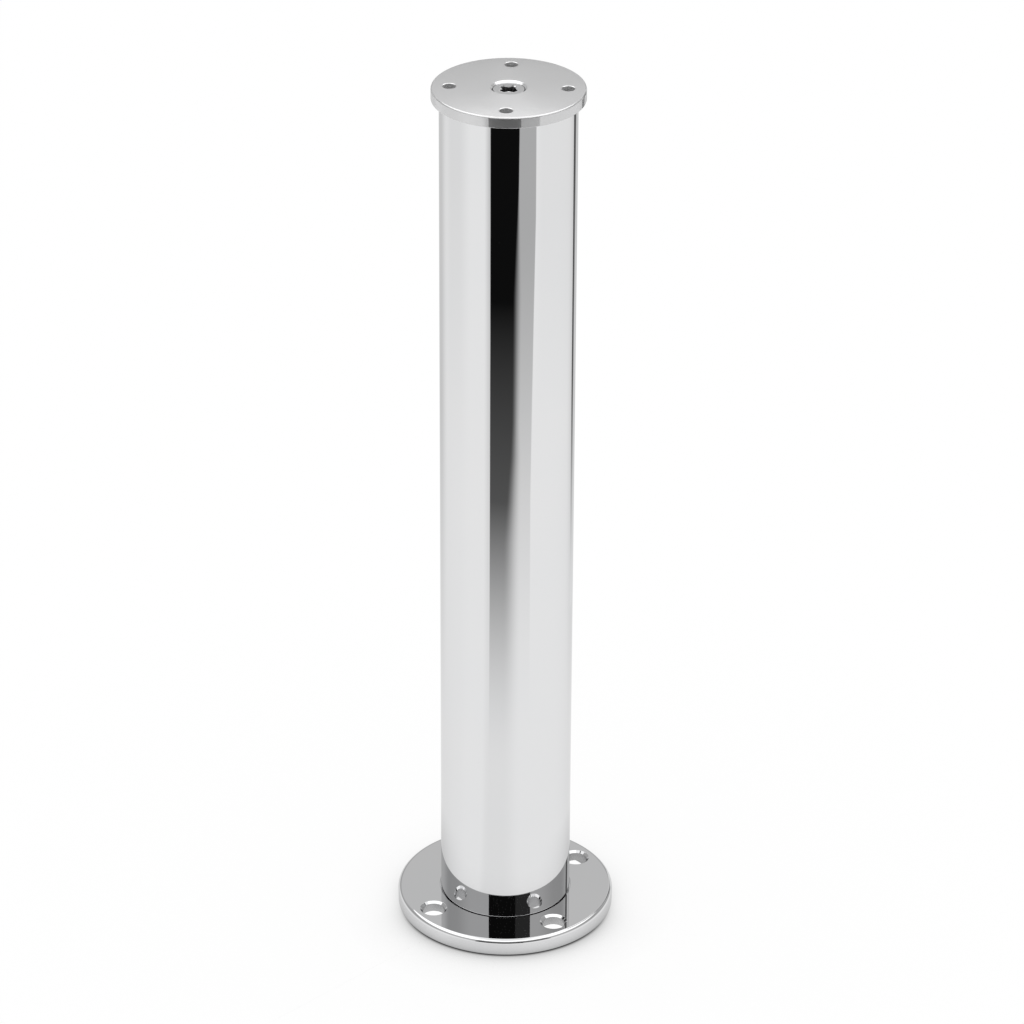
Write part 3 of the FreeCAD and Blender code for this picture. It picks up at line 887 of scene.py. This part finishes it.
def wall_tone(tree):
    """A grey wall that rises softly from the floor, and meets its dark end on the camera's side."""
    angle, _ = polar_place(tree)
    height, _ = height_and_facing(tree)
    width = math_node(tree, "ABSOLUTE", angle)
    front = fade(tree, width, *SIDE_SECTOR, FRONT_WALL_TONE, SIDE_WALL_TONE)
    back = fade(tree, height, *LOW_WALL_FADE, BACK_WALL_TONE * LOW_WALL_SHARE, BACK_WALL_TONE)
    grey = blend(tree, fade(tree, width, *BACK_SECTOR), front, back)
    end = edge_step(tree, angle, DARK_SECTOR_END, EDGE_SOFTNESS)
    beside = fade(tree, height, *HORIZON_FADE, GREY_TONE, DIM_TONE)
    dark = blend(tree, end, DARK_TONE, beside)
    dark = blend(tree, fade(tree, height, *DARK_WALL_FADE), dark, grey)
    mask = front_mask(tree, angle, LEFT_EDGE_TURN[1][1], GREY_SECTOR_END)
    foot, _ = floor_tone(tree)
    light = blend(tree, fade(tree, height, *HORIZON_FADE), foot, grey)
    return blend(tree, mask, light, dark)


def ceiling_tone(tree):
    """A bright ceiling with a calmer middle."""
    _, distance = polar_place(tree)
    return fade(tree, distance, *CEILING_FADE, *CEILING_TONES)


def card_tone(tree):
    """A dark card's tone, a little lighter to the right."""
    angle, _ = polar_place(tree)
    return blend(tree, edge_step(tree, angle, CARD_SECTOR[1], EDGE_SOFTNESS), DARK_TONE, DIM_TONE)


def flag_tone(tree):
    """A dark card that gets lighter towards the floor and towards one side."""
    angle, _ = polar_place(tree)
    height, _ = height_and_facing(tree)
    low = fade(tree, height, *FLAG_FOOT_FADE, *FLAG_TONES)
    side = fade(tree, angle, *FLAG_SIDE_FADE, *reversed(FLAG_TONES))
    return math_node(tree, "MAXIMUM", low, side)


def stage_object(name, points, faces, material, only_reflected=True):
    """A piece of the studio."""
    mesh = bpy.data.meshes.new(name)
    mesh.from_pydata(points, [], faces)
    mesh.materials.append(material)
    thing = bpy.data.objects.new(name, mesh)
    bpy.context.scene.collection.objects.link(thing)
    if only_reflected:
        thing.visible_camera = False
        thing.visible_diffuse = False
        thing.visible_transmission = False
        thing.visible_shadow = False


def make_floor():
    half = FLOOR_SIZE / 2
    corners = [(-half, -half, 0), (half, -half, 0), (half, half, 0), (-half, half, 0)]
    stage_object("studio_floor", corners, [(0, 1, 2, 3)], floor_material(), False)


def make_wall():
    """A round wall and its ceiling, which the polished metal reflects."""
    points = []
    for height in (0, WALL_HEIGHT):
        for step in range(LARGE_CIRCLE):
            turn = 2 * pi * step / LARGE_CIRCLE
            points.append((WALL_RADIUS * cos(turn), WALL_RADIUS * sin(turn), height))
    faces = []
    for step in range(LARGE_CIRCLE):
        after = (step + 1) % LARGE_CIRCLE
        faces.append((step, after, LARGE_CIRCLE + after, LARGE_CIRCLE + step))
    stage_object("studio_wall", points, faces, glow_by("studio_wall", wall_tone))
    ceiling = glow_by("studio_ceiling", ceiling_tone)
    stage_object("studio_ceiling", points[LARGE_CIRCLE:], [range(LARGE_CIRCLE)], ceiling)


def make_card():
    """A dark card in front of the leg, which the tube's foot shows in the flange."""
    first, last = CARD_SECTOR[0], CARD_SECTOR[-1]
    count = round((last - first) / CARD_STEP)
    points = []
    for height in CARD_HEIGHTS:
        for step in range(count + 1):
            turn = radians(first + (last - first) * step / count)
            points.append((CARD_DISTANCE * sin(turn), -CARD_DISTANCE * cos(turn), height))
    row = count + 1
    faces = [(step, step + 1, row + step + 1, row + step) for step in range(count)]
    stage_object("dark_card", points, faces, glow_by("dark_card", card_tone))


def make_flag():
    """A narrow dark card that stands behind the leg, to its right."""
    points = []
    for height, sides in ((0, FLAG_FOOT), (FLAG_HEIGHT, FLAG_HEAD)):
        for side in sides:
            turn = radians(side)
            points.append((FLAG_DISTANCE * sin(turn), -FLAG_DISTANCE * cos(turn), height))
    stage_object("dark_flag", points, [(0, 1, 3, 2)], glow_by("dark_flag", flag_tone))


def make_lights():
    """A broad soft light overhead, and an even fill."""
    lamp = bpy.data.lights.new("soft_top_light", "SUN")
    lamp.energy = pi * SUN_SHARE
    lamp.angle = radians(SUN_SPREAD)
    light = bpy.data.objects.new("soft_top_light", lamp)
    light.visible_glossy = False
    bpy.context.scene.collection.objects.link(light)
    world = bpy.data.worlds.new("studio")
    world.use_nodes = True
    tree = world.node_tree
    background = tree.nodes["Background"]
    strength = blend(tree, seen_ray(tree), 1 - SUN_SHARE, 1.0)
    background.inputs["Color"].default_value = (1, 1, 1, 1)
    tree.links.new(strength, background.inputs["Strength"])
    bpy.context.scene.world = world


def make_camera():
    """The photograph's viewpoint, which is tilted by a fraction of a degree."""
    forward = (CAMERA_TARGET - CAMERA_PLACE).normalized()
    right = forward.cross(Vector((0, 0, 1))).normalized()
    up = right.cross(forward)
    roll = radians(CAMERA_ROLL)
    tilted_right = right * cos(roll) + up * sin(roll)
    tilted_up = up * cos(roll) - right * sin(roll)
    turn = Matrix((tilted_right, tilted_up, -forward)).transposed()
    lens = bpy.data.cameras.new("camera")
    lens.sensor_width = SENSOR_WIDTH
    lens.lens = CAMERA_FOCAL_PIXELS / PICTURE_PIXELS * SENSOR_WIDTH
    camera = bpy.data.objects.new("camera", lens)
    camera.matrix_world = Matrix.Translation(CAMERA_PLACE) @ turn.to_4x4()
    bpy.context.scene.collection.objects.link(camera)
    bpy.context.scene.camera = camera


def paint(nodes, material, *names):
    """Gives CAD nodes that stay in view a material."""
    for name in names:
        nodes[name].data.materials[0] = material


drop_default_objects()
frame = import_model()
# the flange's hole walls get painted shade
bright = chrome("chrome", CHROME_TONE, **BRIGHT_FINISH, dull_and_shaded=FLANGE_BORE_SHADE_AND_ROUGHNESS, mask_of=shaded_bore_walls)
plated_screw = chrome("screw_plating", CHROME_TONE, **SCREW_FINISH)
# the top screw's recess and the metal below its head's edge get painted shade
screw_in_seat = chrome(
    "screw_in_seat", CHROME_TONE, **SCREW_FINISH, dull_and_shaded=RECESS_SHADE, mask_of=below_head_shade
)
make_flange(bright)
make_tube(bright)
make_plate(satin_plate())
make_screw("top_screw_bright", "top_screw", True, screw_in_seat)
make_screw("base_screw_bright", "base_screw", False, plated_screw)
paint(
    frame["nodes"],
    zinc(),
    "upper_coupling_nut",
    "lower_coupling_nut",
    "upper_lock_nut",
    "lower_lock_nut",
    "tie_rod",
)
make_floor()
make_wall()
make_card()
make_flag()
make_lights()
make_camera()
bpy.context.scene.view_settings.view_transform = "Standard"
